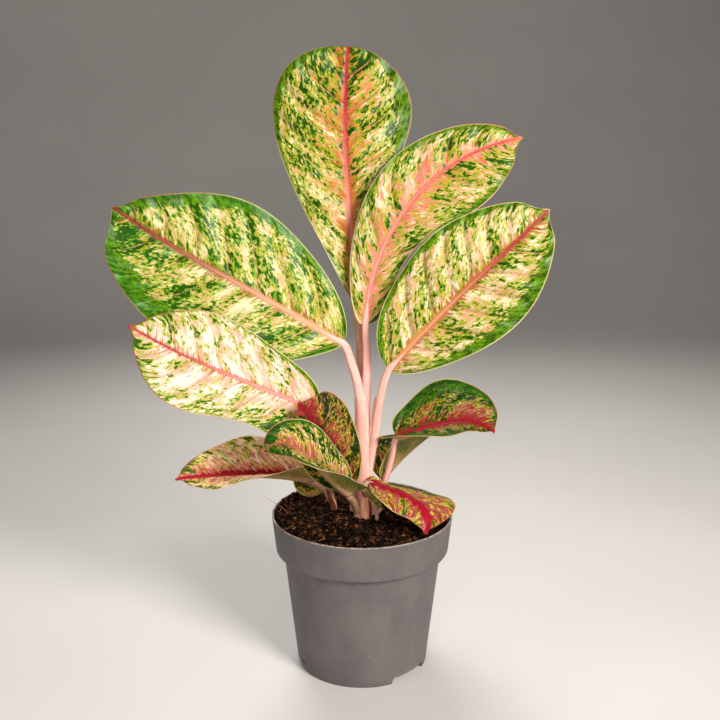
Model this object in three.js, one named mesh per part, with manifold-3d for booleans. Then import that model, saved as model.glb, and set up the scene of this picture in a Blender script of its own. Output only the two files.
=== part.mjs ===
// Potted chinese evergreen: thin plastic pot, potting soil, two rooted stems and twelve blades.
// Millimetres, +Z up. The origin is the centre of the pot's resting plane; the plant faces -Y.
import * as THREE from 'three';
import { mergeVertices } from 'three/addons/utils/BufferGeometryUtils.js';
import Module from 'manifold-3d';

const wasm = await Module();
wasm.setup();

// ---- pot -------------------------------------------------------------------------------------
const POT_TALL = 105;
const RIM_R = 60;
const BAND_FOOT_R = 57.4;
const BAND_FOOT_Z = 81;
const STEP_R = 52.3;
const STEP_Z = 78.5;
const BASE_R = 43.6;
const WALL = 1.3;
const LIP_ROUND = 0.4;
const FOOT_TALL = 5;
const FOOT_WIDE = 3;
const FOOT_GAP_WIDE = 30;
const FOOT_GAPS_AT = [-43, 77, 194];
const FOOT_CUT_DEEP = 10;
const FLOOR_THICK = 1.6;
const PAD_R = 11;
const POT_SIDES = 60;

// ---- soil ------------------------------------------------------------------------------------
// The surface is heaped to the left and sinks to the right and at the back right.
const GAP = 0.3;
const SOIL_LEVEL = 102.2;
const SOIL_TILT = [-4, -1.5];
const SOIL_DISH = [-2.5, -3];
const SOIL_CORNER = -6;
const SOIL_LUMP = 0.9;
// Each ripple: sine turn along x and y, cosine turn along x and y, height.
const SOIL_RIPPLES = [[0.31, 0.13, -0.11, 0.27, 1], [0.62, -0.5, 0.4, 0.55, 0.6]];
const SOIL_SIDES = POT_SIDES / 2;
const SOIL_RINGS = [6, 13, 21, 29, 37, 45, 52, 58];
const HOLE_FLOOR = 84;
const HOLE_SIDES = 14;

// ---- blades ----------------------------------------------------------------------------------
// rib: four points of the midrib, evenly spaced from base to tip.
// face: way the upper side looks, once or at base, middle and tip.
// wide: half-widths at 1/8, 3/8, 5/8 and 7/8 of the length, left side then right side.
// base, tip: how blunt each end is (0.3 very blunt, 0.7 pointed), one value or left and right.
// fold: degrees each half rises from flat at base, middle and tip; foldRight where it differs.
// bow: degrees each half droops across its width. lobe: how far the base lobes reach back.
// wave: height, number and starting phases (left, right) of the waves along the margin.
const BLADE_THICK = 0.8;
const MIDRIB_DEEP = [2.6, 0.9];
const MIDRIB_HALF = [2.4, 0.8];
const BASE_HALF = 2.2;
const TIP_HALF = 0.5;
const MIDRIB_SHARE = 0.3;
const WAVE_REACH = 1.6;
const LOBE_REACH = 1.5;
const LOBE_FADE = 4;
const ACROSS = [0.36, 0.7, 1];

const LEAVES = {
  leaf_crown: {
    rib: [[-5, 16, 244], [-8, 32, 299], [-11, 44, 348], [-9, 50, 405]],
    face: [0.05, -0.96, 0.28], wide: [[14, 31, 44, 44], [18, 24, 39, 40]], base: 0.72, tip: [0.5, 0.42],
    fold: [28, 12, 5], bow: 20, wave: [2.2, 2.3, 0, 0.3], rows: 18,
  },
  leaf_upper_right: {
    rib: [[2, 6, 231], [18, 14, 289], [54, 24, 329], [103, 32, 348]],
    face: [-0.1, -0.93, 0.35], wide: [[13, 25, 27, 14], [14, 22, 33, 24]], base: [0.3, 0.5], tip: 0.6,
    fold: [10, 10, 10], bow: 15, lobe: [9, 4], wave: [1.8, 2.2, 0.2, 0.5], rows: 18,
  },
  leaf_right: {
    rib: [[17, -6, 204], [51, -12, 243], [80, -14, 273], [115, -8, 306]],
    face: [-0.15, -0.95, 0.2], wide: [[27, 38, 38, 24], [21, 35, 37, 23]], base: 0.6, tip: [0.55, 0.6],
    fold: [12, 8, 5], bow: 15, lobe: 2, wave: [1.8, 2.2, 0.1, 0.4], rows: 18,
  },
  leaf_left: {
    rib: [[-12, -2, 220], [-60, -8, 250], [-107, -12, 278], [-152, -14, 308]],
    face: [0.05, -0.95, 0.3], wide: [[24, 48, 49, 33], [26, 45, 46, 23]], base: 0.6, tip: 0.5,
    fold: [8, 5, 5], bow: 10, lobe: 2, wave: [1.8, 2.2, 0.4, 0.1], rows: 18,
  },
  leaf_lower_left: {
    rib: [[-28, -9, 177], [-66, -36, 202], [-99, -57, 223], [-132, -74, 247]],
    face: [0, -0.92, 0.4], wide: [[26, 24.5, 30, 18.5], [20, 28, 31, 18]], base: 0.6, tip: 0.6,
    fold: [10, 5, 5], bow: 10, wave: [1.4, 2.2, 0, 0.3], rows: 18,
  },
  leaf_front_round: {
    rib: [[-7, -1, 123], [-18, -12, 148], [-28, -24, 170], [-39, -37, 190]],
    face: [0.36, -0.93, -0.1], wide: [[15, 21, 19, 12], [13, 20, 23, 20]], base: 0.5, tip: [0.5, 0.35],
    fold: [8, 5, 5], bow: 10, wave: [1, 2.2, 0.1, 0.6], rows: 13,
  },
  leaf_low_left: {
    rib: [[-32, 4, 125], [-62, -6, 133], [-92, -15, 136], [-119, -24, 137]],
    face: [0, -0.4, 0.9], wide: [[20, 25, 27, 15], [16, 27, 25, 11]], base: 0.6, tip: 0.6,
    fold: [80, 40, 20], foldRight: [45, 25, 15], bow: 10, wave: [1.3, 2.2, 0, 0.3], rows: 14,
  },
  leaf_front: {
    rib: [[-8, -14, 122], [-24, -34, 145], [-42, -55, 169], [-59, -74, 171]],
    face: [[0.6, 0, 0.77], [0.3, -0.35, 0.85], [0, -0.5, 0.8]],
    wide: [[17, 20, 20, 11], [14, 20, 19, 7]], base: [0.35, 0.5], tip: 0.6,
    fold: [75, 30, -15], foldRight: [62, 46, 8], bow: 10, lobe: [8, 0], wave: [0.8, 2.2, 0.4, 0], rows: 14,
  },
  leaf_low_right: {
    rib: [[22, 2, 156], [43, -2, 164], [65, -7, 170], [85, -14, 165]],
    face: [0, -0.4, 0.9], wide: [[16, 28, 31, 17], [12, 19, 20, 12]], base: 0.3, tip: 0.45,
    fold: [32, 30, 15], foldRight: [75, 25, 25], bow: 10, lobe: [18, 50], wave: [1.2, 2.2, 0.2, 0.5], rows: 14,
  },
  leaf_back_right: {
    rib: [[13, 12, 123], [23, 20, 132], [34, 30, 139], [51, 40, 149]],
    face: [-0.7, -0.3, 0.65], wide: [[18, 24, 20, 10], [12, 15, 13, 7]], base: 0.5, tip: 0.65,
    fold: [50, 45, 35], foldRight: [70, 70, 60], bow: 10, wave: [0.8, 2.2, 0.2, 0.5], rows: 12,
  },
  leaf_front_right: {
    rib: [[4.5, -6, 129], [19, -12, 126.5], [37, -26, 120], [39, -40, 106]],
    face: [[0.2, -0.25, 0.95], [0.15, -0.3, 0.95], [0, -0.6, 0.8]],
    wide: [[10, 20, 31, 10], [8, 17, 17, 11]], base: 0.5, tip: [0.85, 0.6],
    fold: [-10, -20, 20], foldRight: [0, 0, 10], bow: 10, wave: [0.8, 2.2, 0.2, 0.5], rows: 14,
  },
  leaf_back_left: {
    rib: [[-22, 16, 115], [-27, 20, 126], [-32, 25, 136], [-36, 30, 147]],
    face: [0.1, -0.85, 0.5], wide: [[19, 22, 16, 8], [14, 18, 14, 8]], base: 0.3, tip: 0.6,
    fold: [20, 15, 10], bow: 10, lobe: [5, 4], wave: [1, 2.2, 0.1, 0.6], rows: 12,
  },
};

// ---- stems -----------------------------------------------------------------------------------
// Feet stand upright in the soil: x, y, radius. They end where the curved parts start.
const FOOT_TOP = 105.8;
const MAIN_FEET = [
  [1, 9, 7], [-5.5, 7, 2.8], [-3, -2.2, 2.8], [2.4, -3.4, 3.5], [8.4, -0.6, 3.4], [10, -4, 1.5], [9.6, 8, 2.3],
  [7.6, 13, 2.4], [2.8, 1.6, 3.4],
];
const LEFT_FEET = [[-19, 9, 2.3], [-19.4, 13, 2.4]];

// Curved parts: points from foot to top, radius at the foot, radius at the top.
const MAIN_STEM = {
  cane: [[[1, 9, 105], [1.2, 8, 130], [0.6, 7, 157], [-0.4, 7, 183]], 7, 4.6],
  leftPetiole: [[[-0.6, 6, 176], [-3.8, 4.4, 195], [-7, 2.6, 206], [-11, -0.8, 218.6]], 3.4, 2.4],
  upperRightPetiole: [[[2.4, 8, 176], [3, 8, 200], [2.9, 7.6, 215], [2.1, 7.1, 230.2]], 3, 2.2],
  crownPetiole: [[[-1, 11, 172], [-1, 15, 197], [-2, 16.6, 220], [-5, 17, 242.9]], 2.8, 2],
  rightPetiole: [[[4.6, 6, 134], [8.4, 3, 157], [11, 0, 179], [16.3, -4.7, 202.8]], 3, 2.3],
  sheath: [[[5, 6, 146], [7.2, 4.6, 162], [8, 4.2, 184]], 2.4, 0.7],
  lowerLeftPetiole: [[[-1, 6, 138], [-6, 4, 150], [-14, -0.4, 163], [-27.6, -7.4, 176]], 3, 2.2],
  roundPetiole: [[[-5.5, 7, 105], [-6.4, 5, 114], [-6.9, 0.6, 121.6]], 2.8, 2.2],
  frontPetiole: [[[-3, -2.2, 105], [-4, -5, 110], [-7, -12, 119]], 2.8, 2.6],
  cutStub: [[[2.4, -3.4, 105], [2.5, -3.5, 110], [2.6, -3.6, 117]], 3.5, 2.8],
  bud: [[[10, -4, 105], [11, -5, 107], [12.6, -6.6, 109.6]], 1.5, 1.1],
  rootCrown: [[[2.8, 1.6, 105], [2.6, 2.6, 108], [2.2, 4.4, 112]], 3.4, 2.6],
  frontRightPetiole: [
    [[8.4, -0.6, 105], [7.6, -2.2, 112], [4.6, -4.6, 119], [1.4, -6, 124.4], [1.8, -6, 126.4]], 3.4, 1.6,
  ],
  lowRightPetiole: [[[9.6, 8, 105], [14.6, 8.4, 121], [20, 4.4, 143], [21.3, 3.5, 153.1]], 2.3, 1.7],
  backRightPetiole: [[[7.6, 13, 105], [9.4, 13.2, 113], [12.2, 12.6, 121.4]], 2.4, 2],
};
const LEFT_STEM = {
  lowLeftPetiole: [[[-19, 9, 105], [-22, 8, 112], [-25, 6.6, 119], [-31.2, 4.8, 123.4]], 2.3, 1.8],
  backLeftPetiole: [[[-19.4, 13, 105], [-20.4, 14.6, 109], [-21.8, 16, 113.4]], 2.4, 1.9],
};
const STEM_SIDES = 10;
const STEM_ROW_LONG = 9;

const MATERIALS = {
  pot: [0x6e655f, 0.7],
  soil: [0x2a1b14, 0.95],
  stem: [0xe2a79b, 0.5],
  leaf: [0xa9bd6c, 0.4],
};

// ---- small helpers ---------------------------------------------------------------------------
const vec = (p) => new THREE.Vector3(...p);
const both = (value) => (Array.isArray(value) ? value : [value, value]);
const radians = THREE.MathUtils.degToRad;
const mix = THREE.MathUtils.lerp;

function closedMesh(points, faces) {
  const geometry = new THREE.BufferGeometry();
  geometry.setAttribute('position', new THREE.Float32BufferAttribute(points.flat(), 3));
  geometry.setIndex(faces.flat());
  return geometry;
}

function toManifold(geometry) {
  geometry.deleteAttribute('normal');
  geometry.deleteAttribute('uv');
  const merged = mergeVertices(geometry, 1e-4);
  const index = merged.index.array;
  const faces = [];
  for (let i = 0; i < index.length; i += 3) {
    const [a, b, c] = [index[i], index[i + 1], index[i + 2]];
    if (a !== b && b !== c && c !== a) {
      faces.push(a, b, c);
    }
  }
  return new wasm.Manifold(new wasm.Mesh({
    numProp: 3,
    vertProperties: new Float32Array(merged.attributes.position.array),
    triVerts: new Uint32Array(faces),
  }));
}

function fromManifold(solid) {
  const mesh = solid.getMesh();
  const geometry = new THREE.BufferGeometry();
  geometry.setAttribute('position', new THREE.Float32BufferAttribute(mesh.vertProperties, mesh.numProp));
  geometry.setIndex(Array.from(mesh.triVerts));
  return geometry;
}

// Value and slope of the polynomial through evenly or unevenly placed stations.
function through(stations, values, u) {
  let value = 0;
  let slope = 0;
  stations.forEach((own, i) => {
    const others = stations.filter((other, j) => j !== i);
    const below = others.reduce((product, other) => product * (own - other), 1);
    value += (values[i] * others.reduce((product, other) => product * (u - other), 1)) / below;
    others.forEach((skipped) => {
      const rest = others.filter((other) => other !== skipped);
      slope += (values[i] * rest.reduce((product, other) => product * (u - other), 1)) / below;
    });
  });
  return [value, slope];
}

// ---- blades ----------------------------------------------------------------------------------
const RIB_STATIONS = [0, 1 / 3, 2 / 3, 1];
const WIDTH_STATIONS = [1 / 8, 3 / 8, 5 / 8, 7 / 8];
const THIRDS = [0, 0.5, 1];

function envelope(u, base, tip) {
  return u ** base * (1 - u) ** tip;
}

function halfWidth(leaf, side, u) {
  const base = both(leaf.base)[side];
  const tip = both(leaf.tip)[side];
  const wide = leaf.wide[side];
  const scale = wide.map((width, i) => width / envelope(WIDTH_STATIONS[i], base, tip));
  return envelope(u, base, tip) * Math.max(through(WIDTH_STATIONS, scale, u)[0], 0);
}

function frameAt(leaf, u) {
  const xyz = [0, 1, 2].map((k) => through(RIB_STATIONS, leaf.rib.map((p) => p[k]), u));
  const centre = vec(xyz.map((pair) => pair[0]));
  const along = vec(xyz.map((pair) => pair[1])).normalize();
  const faces = Array.isArray(leaf.face[0]) ? leaf.face : [leaf.face, leaf.face, leaf.face];
  const up = vec([0, 1, 2].map((k) => through(THIRDS, faces.map((f) => f[k]), u)[0]));
  up.addScaledVector(along, -up.dot(along)).normalize();
  const right = new THREE.Vector3().crossVectors(along, up);
  return { centre, along, up, right };
}

function bladePoint(leaf, frame, u, side, share) {
  const widest = Math.max(...leaf.wide[side]);
  const least = mix(BASE_HALF, TIP_HALF, u);
  const half = Math.max(halfWidth(leaf, side, u), least);
  const out = typeof share === 'number' ? share * half : Math.min(share.half, MIDRIB_SHARE * half);
  const folds = side === 1 && leaf.foldRight ? leaf.foldRight : leaf.fold;
  const fold = radians(through(THIRDS, folds, u)[0]);
  const bow = radians(leaf.bow) / widest;
  const across = (Math.sin(fold) - Math.sin(fold - bow * out)) / bow;
  const [height, count] = leaf.wave;
  const turn = Math.sin(2 * Math.PI * (count * u + leaf.wave[2 + side]));
  const wave = height * (out / half) ** WAVE_REACH * turn * Math.sqrt(Math.min(4 * u * (1 - u), 1));
  const rise = (Math.cos(fold - bow * out) - Math.cos(fold)) / bow + wave;
  const back = both(leaf.lobe ?? 0)[side] * (out / widest) ** LOBE_REACH * (1 - u) ** LOBE_FADE;
  return frame.centre.clone()
    .addScaledVector(frame.right, side === 1 ? across : -across)
    .addScaledVector(frame.up, rise)
    .addScaledVector(frame.along, -back);
}

function bladeGeometry(leaf) {
  const top = [];
  for (let i = 0; i <= leaf.rows; i += 1) {
    const even = i / leaf.rows;
    const u = mix(even, (1 - Math.cos(Math.PI * even)) / 2, 0.5);
    const frame = frameAt(leaf, u);
    const rib = { half: mix(MIDRIB_HALF[0], MIDRIB_HALF[1], u) };
    const left = [...ACROSS].reverse().map((share) => bladePoint(leaf, frame, u, 0, share));
    const right = ACROSS.map((share) => bladePoint(leaf, frame, u, 1, share));
    const near = [0, 1].map((side) => bladePoint(leaf, frame, u, side, rib));
    top.push([...left, near[0], frame.centre.clone(), near[1], ...right]);
  }
  const columns = top[0].length;
  const middle = (columns - 1) / 2;
  const clampRow = (i) => Math.min(Math.max(i, 0), leaf.rows);
  const clampColumn = (j) => Math.min(Math.max(j, 0), columns - 1);
  const under = top.map((row, i) => row.map((point, j) => {
    const lengthwise = top[clampRow(i + 1)][j].clone().sub(top[clampRow(i - 1)][j]);
    const crosswise = row[clampColumn(j + 1)].clone().sub(row[clampColumn(j - 1)]);
    const normal = lengthwise.cross(crosswise).normalize();
    const deep = j === middle ? mix(MIDRIB_DEEP[0], MIDRIB_DEEP[1], i / leaf.rows) : BLADE_THICK;
    return point.clone().addScaledVector(normal, deep);
  }));
  const points = [...top.flat(), ...under.flat()].map((p) => p.toArray());
  const layer = points.length / 2;
  const at = (i, j) => i * columns + j;
  const faces = [];
  const quad = (a, b, c, d) => faces.push([a, b, c], [a, c, d]);
  for (let i = 0; i < leaf.rows; i += 1) {
    for (let j = 0; j < columns - 1; j += 1) {
      const corners = [at(i, j), at(i, j + 1), at(i + 1, j + 1), at(i + 1, j)];
      quad(...corners);
      const [a, b, c, d] = corners.map((k) => k + layer);
      faces.push([a, c, b], [a, d, c]);
    }
    quad(at(i, 0), at(i + 1, 0), at(i + 1, 0) + layer, at(i, 0) + layer);
    const edge = columns - 1;
    quad(at(i + 1, edge), at(i, edge), at(i, edge) + layer, at(i + 1, edge) + layer);
  }
  for (let j = 0; j < columns - 1; j += 1) {
    quad(at(0, j + 1), at(0, j), at(0, j) + layer, at(0, j + 1) + layer);
    quad(at(leaf.rows, j), at(leaf.rows, j + 1), at(leaf.rows, j + 1) + layer, at(leaf.rows, j) + layer);
  }
  return closedMesh(points, faces);
}

// ---- stems -----------------------------------------------------------------------------------
function sweep(spine, footR, topR, sides) {
  const curve = new THREE.CatmullRomCurve3(spine.map(vec), false, 'centripetal');
  const rows = Math.max(2, Math.ceil(curve.getLength() / STEM_ROW_LONG));
  const points = [];
  const faces = [];
  const side = new THREE.Vector3(1, 0, 0);
  for (let i = 0; i <= rows; i += 1) {
    const u = i / rows;
    const centre = curve.getPointAt(u);
    const along = curve.getTangentAt(u);
    side.addScaledVector(along, -side.dot(along)).normalize();
    const other = new THREE.Vector3().crossVectors(along, side);
    const radius = mix(footR, topR, u);
    for (let j = 0; j < sides; j += 1) {
      const turn = (2 * Math.PI * j) / sides;
      points.push(centre.clone()
        .addScaledVector(side, radius * Math.cos(turn))
        .addScaledVector(other, radius * Math.sin(turn))
        .toArray());
    }
  }
  for (let i = 0; i < rows; i += 1) {
    for (let j = 0; j < sides; j += 1) {
      const next = (j + 1) % sides;
      const [a, b, c, d] = [i * sides + j, i * sides + next, (i + 1) * sides + next, (i + 1) * sides + j];
      faces.push([a, b, c], [a, c, d]);
    }
  }
  const foot = points.push(curve.getPointAt(0).toArray()) - 1;
  const crest = points.push(curve.getPointAt(1).toArray()) - 1;
  for (let j = 0; j < sides; j += 1) {
    const next = (j + 1) % sides;
    faces.push([foot, next, j], [crest, rows * sides + j, rows * sides + next]);
  }
  return closedMesh(points, faces);
}

function uprightCylinder(x, y, radius, low, high, sides) {
  const cylinder = new THREE.CylinderGeometry(radius, radius, high - low, sides);
  cylinder.rotateX(Math.PI / 2);
  cylinder.translate(x, y, (low + high) / 2);
  return toManifold(cylinder);
}

function stemSolid(feet, parts) {
  const footZ = HOLE_FLOOR + GAP;
  const cylinders = feet.map(([x, y, r]) => uprightCylinder(x, y, r, footZ, FOOT_TOP, STEM_SIDES));
  const curved = Object.values(parts)
    .map(([spine, footR, topR]) => toManifold(sweep(spine, footR, topR, STEM_SIDES)));
  return [...cylinders, ...curved].reduce((whole, piece) => whole.add(piece));
}

// ---- pot -------------------------------------------------------------------------------------
function lathe(profile) {
  const geometry = new THREE.LatheGeometry(profile.map(([r, z]) => new THREE.Vector2(r, z)), POT_SIDES);
  geometry.rotateX(Math.PI / 2);
  return toManifold(geometry);
}

function potSolid() {
  const floorTop = FOOT_TALL + FLOOR_THICK;
  const shell = lathe([
    [0, FOOT_TALL],
    [BASE_R - FOOT_WIDE, FOOT_TALL],
    [BASE_R - FOOT_WIDE, 0],
    [BASE_R, 0],
    [STEP_R, STEP_Z],
    [BAND_FOOT_R, BAND_FOOT_Z],
    [RIM_R, POT_TALL - LIP_ROUND],
    [RIM_R - LIP_ROUND, POT_TALL],
    [RIM_R - WALL, POT_TALL],
    [BAND_FOOT_R - WALL, BAND_FOOT_Z + WALL / 2],
    [STEP_R - WALL, STEP_Z + WALL / 2],
    [innerBodyR(floorTop), floorTop],
    [0, floorTop],
  ]);
  const pad = uprightCylinder(0, 0, PAD_R, 0, FOOT_TALL + FLOOR_THICK / 2, POT_SIDES / 2);
  const cuts = FOOT_GAPS_AT.map((turn) => {
    const box = new THREE.BoxGeometry(FOOT_CUT_DEEP, FOOT_GAP_WIDE, 2 * FOOT_TALL);
    box.translate(BASE_R - FOOT_WIDE / 2, 0, 0);
    box.rotateZ(radians(turn));
    return toManifold(box);
  });
  return cuts.reduce((whole, cut) => whole.subtract(cut), shell).add(pad);
}

function innerBodyR(z) {
  return mix(BASE_R, STEP_R, z / STEP_Z) - WALL;
}

function innerBandR(z) {
  return mix(BAND_FOOT_R, RIM_R, (z - BAND_FOOT_Z) / (POT_TALL - BAND_FOOT_Z)) - WALL;
}

// ---- soil ------------------------------------------------------------------------------------
function soilHeight(x, y) {
  const a = x / RIM_R;
  const b = y / RIM_R;
  const slope = SOIL_TILT[0] * a + SOIL_TILT[1] * b;
  const dish = SOIL_DISH[0] * a * a + SOIL_DISH[1] * b * b + SOIL_CORNER * a * b;
  const lumps = SOIL_RIPPLES.reduce((sum, [sx, sy, cx, cy, height]) => (
    sum + height * Math.sin(sx * x + sy * y) * Math.cos(cx * x + cy * y)
  ), 0);
  return SOIL_LEVEL + slope + dish + SOIL_LUMP * lumps;
}

function soilSolid() {
  const floorTop = FOOT_TALL + FLOOR_THICK + GAP;
  const ring = (radiusAt, heightAt) => Array.from({ length: SOIL_SIDES }, (unused, k) => {
    const turn = (2 * Math.PI * k) / SOIL_SIDES;
    const flat = [Math.cos(turn), Math.sin(turn)];
    const height = heightAt(flat);
    const radius = radiusAt(height);
    return [radius * flat[0], radius * flat[1], height];
  });
  const top = SOIL_RINGS.map((r) => ring(
    (z) => Math.min(r, innerBandR(z) - GAP),
    (flat) => soilHeight(r * flat[0], r * flat[1]),
  ));
  const wall = [
    ring(() => BAND_FOOT_R - WALL - GAP, () => BAND_FOOT_Z + WALL),
    ring(() => STEP_R - WALL - GAP, () => STEP_Z + WALL),
    ring(() => innerBodyR(floorTop) - GAP, () => floorTop),
  ];
  const rings = [...top, ...wall];
  const points = rings.flat();
  const faces = [];
  for (let i = 0; i < rings.length - 1; i += 1) {
    for (let k = 0; k < SOIL_SIDES; k += 1) {
      const next = (k + 1) % SOIL_SIDES;
      const [a, b] = [i * SOIL_SIDES + k, i * SOIL_SIDES + next];
      faces.push([a, a + SOIL_SIDES, b + SOIL_SIDES], [a, b + SOIL_SIDES, b]);
    }
  }
  const crest = points.push([0, 0, soilHeight(0, 0)]) - 1;
  const foot = points.push([0, 0, floorTop]) - 1;
  const last = (rings.length - 1) * SOIL_SIDES;
  for (let k = 0; k < SOIL_SIDES; k += 1) {
    const next = (k + 1) % SOIL_SIDES;
    faces.push([crest, k, next], [foot, last + next, last + k]);
  }
  const heap = toManifold(closedMesh(points, faces));
  const holeR = (r) => (r + GAP) / Math.cos(Math.PI / HOLE_SIDES);
  return [...MAIN_FEET, ...LEFT_FEET]
    .map(([x, y, r]) => uprightCylinder(x, y, holeR(r), HOLE_FLOOR, POT_TALL + SOIL_LUMP, HOLE_SIDES))
    .reduce((whole, hole) => whole.subtract(hole), heap);
}

// ---- the whole plant -------------------------------------------------------------------------
function named(name, geometry, look) {
  const [color, roughness] = MATERIALS[look];
  const mesh = new THREE.Mesh(geometry, new THREE.MeshStandardMaterial({ color, roughness }));
  mesh.name = name;
  return mesh;
}

const plant = new THREE.Group();
plant.name = 'potted_chinese_evergreen';
plant.add(named('pot', fromManifold(potSolid()), 'pot'));
plant.add(named('soil', fromManifold(soilSolid()), 'soil'));
plant.add(named('main_stem', fromManifold(stemSolid(MAIN_FEET, MAIN_STEM)), 'stem'));
plant.add(named('left_stem', fromManifold(stemSolid(LEFT_FEET, LEFT_STEM)), 'stem'));
Object.entries(LEAVES).forEach(([name, leaf]) => plant.add(named(name, bladeGeometry(leaf), 'leaf')));

export default plant;
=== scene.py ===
"""Looks of the potted chinese evergreen. Lengths are millimetres until a mesh is made."""
import itertools
import math
import random
from types import SimpleNamespace

import bpy
import numpy as np
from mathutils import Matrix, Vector, noise


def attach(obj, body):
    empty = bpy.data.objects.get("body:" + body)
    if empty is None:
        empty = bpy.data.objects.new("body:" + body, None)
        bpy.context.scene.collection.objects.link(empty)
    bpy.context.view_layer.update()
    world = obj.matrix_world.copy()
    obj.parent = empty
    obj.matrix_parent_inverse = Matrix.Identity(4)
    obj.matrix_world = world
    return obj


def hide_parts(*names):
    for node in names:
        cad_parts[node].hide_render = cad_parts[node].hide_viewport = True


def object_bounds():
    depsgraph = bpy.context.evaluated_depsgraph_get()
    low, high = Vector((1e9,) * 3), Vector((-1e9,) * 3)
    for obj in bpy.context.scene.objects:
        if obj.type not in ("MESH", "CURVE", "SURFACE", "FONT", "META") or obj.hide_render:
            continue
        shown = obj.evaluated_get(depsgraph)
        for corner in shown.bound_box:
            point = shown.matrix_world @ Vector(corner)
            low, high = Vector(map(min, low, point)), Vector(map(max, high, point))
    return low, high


MM = 0.001
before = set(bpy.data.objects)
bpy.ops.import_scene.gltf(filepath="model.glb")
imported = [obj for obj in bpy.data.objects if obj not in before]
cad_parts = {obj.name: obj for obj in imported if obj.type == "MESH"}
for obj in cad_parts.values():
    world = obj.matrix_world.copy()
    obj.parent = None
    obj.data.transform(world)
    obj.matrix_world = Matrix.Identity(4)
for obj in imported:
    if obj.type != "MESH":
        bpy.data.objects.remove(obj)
cad_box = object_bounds()
scene = bpy.context.scene
scene.view_settings.view_transform = "Standard"

# ---- camera ----
CAMERA_AT = (-1.4, -648, 366)
CAMERA_DOWN = 13.63
CAMERA_LENS = 51.85

lens = bpy.data.cameras.new("camera")
lens.lens = CAMERA_LENS
lens.sensor_width = 36
camera = bpy.data.objects.new("camera", lens)
camera.location = [MM * c for c in CAMERA_AT]
camera.rotation_euler = (math.radians(90 - CAMERA_DOWN), 0, 0)
scene.collection.objects.link(camera)
scene.camera = camera


# ---- small helpers ----
def linear(code):
    """Linear colour of a display colour written as six hexadecimal digits."""
    parts = [int(code[i : i + 2], 16) / 255 for i in (0, 2, 4)]
    return tuple(c / 12.92 if c <= 0.04045 else ((c + 0.055) / 1.055) ** 2.4 for c in parts) + (1,)


def mix(a, b, t):
    return a + (b - a) * t


def smoothstep(low, high, value):
    t = np.clip((value - low) / (high - low), 0, 1)
    return t * t * (3 - 2 * t)


def unit(vectors):
    return vectors / np.linalg.norm(vectors, axis=-1, keepdims=True)


def through(stations, values, u, slope=False):
    """Value, or slope, at u of the polynomial through the stations."""
    values = np.asarray(values, float)
    spread = (...,) + (None,) * (values.ndim - 1)
    found = np.zeros(np.shape(u) + values.shape[1:])
    for own, value in zip(stations, values, strict=True):
        others = [s for s in stations if s != own]
        if slope:
            share = sum(math.prod(u - s for s in others if s != skipped) for skipped in others)
        else:
            share = math.prod(u - s for s in others)
        found += value * (share / math.prod(own - s for s in others))[spread]
    return found


def bell(distance, width):
    return np.exp(-((distance / width) ** 2))


def turns(count):
    """Angles that divide a full turn evenly."""
    return np.linspace(0, 2 * np.pi, count, endpoint=False)


def ring(radius, turn, z):
    """Points at the given angles of a circle about the Z axis."""
    return np.stack(np.broadcast_arrays(radius * np.cos(turn), radius * np.sin(turn), z), -1)


def grid_quads(index):
    return np.stack([index[:-1, :-1], index[:-1, 1:], index[1:, 1:], index[1:, :-1]], -1).reshape(-1, 4)


def ring_quads(rows, sides):
    """Faces between closed rings of points, and the rings' own indices."""
    index = np.arange(rows * sides).reshape(rows, sides)
    return grid_quads(np.concatenate([index, index[:, :1]], 1)).tolist(), index


def both(value):
    return value if isinstance(value, (list, tuple)) else (value, value)


def wobble(points, size, seed):
    """Smooth noise from -1 to 1 at each point, with lumps about as big as size."""
    shift = Vector((seed * 17.3, seed * 5.1, seed * 9.7))
    flat = np.asarray(points, float).reshape(-1, 3) / size
    found = np.array([noise.noise(Vector(p) + shift) for p in flat])
    return found.reshape(np.shape(points)[:-1])


def smooth_mesh(name, points, faces, materials):
    """An object in the scene, from points in metres."""
    mesh = bpy.data.meshes.new(name)
    mesh.from_pydata(points, [], faces)
    for material in materials:
        mesh.materials.append(material)
    mesh.polygons.foreach_set("use_smooth", np.ones(len(faces), bool))
    made = bpy.data.objects.new(name, mesh)
    scene.collection.objects.link(made)
    return made


def make_piece(name, points, faces, materials, slot, replaces=(), vectors=(), face_material=None):
    """A piece of the plant, with vector attributes, from points in millimetres."""
    piece = smooth_mesh(name, (points * MM).tolist(), faces, materials)
    if face_material is not None:
        piece.data.polygons.foreach_set("material_index", face_material.astype(np.int32))
    for label, data in vectors:
        attribute = piece.data.attributes.new(label, "FLOAT_VECTOR", "POINT")
        attribute.data.foreach_set("vector", data.astype(np.float32).ravel())
    piece.data.update()
    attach(piece, "root")
    if replaces:
        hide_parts(*replaces)


def plain_piece(name, parts, material, slot, replaces=()):
    """A piece of one material, with its fields in an attribute named after the slot."""
    points, faces, fields = parts
    make_piece(name, points, faces, [material], slot, replaces, [(slot, fields)])


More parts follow.
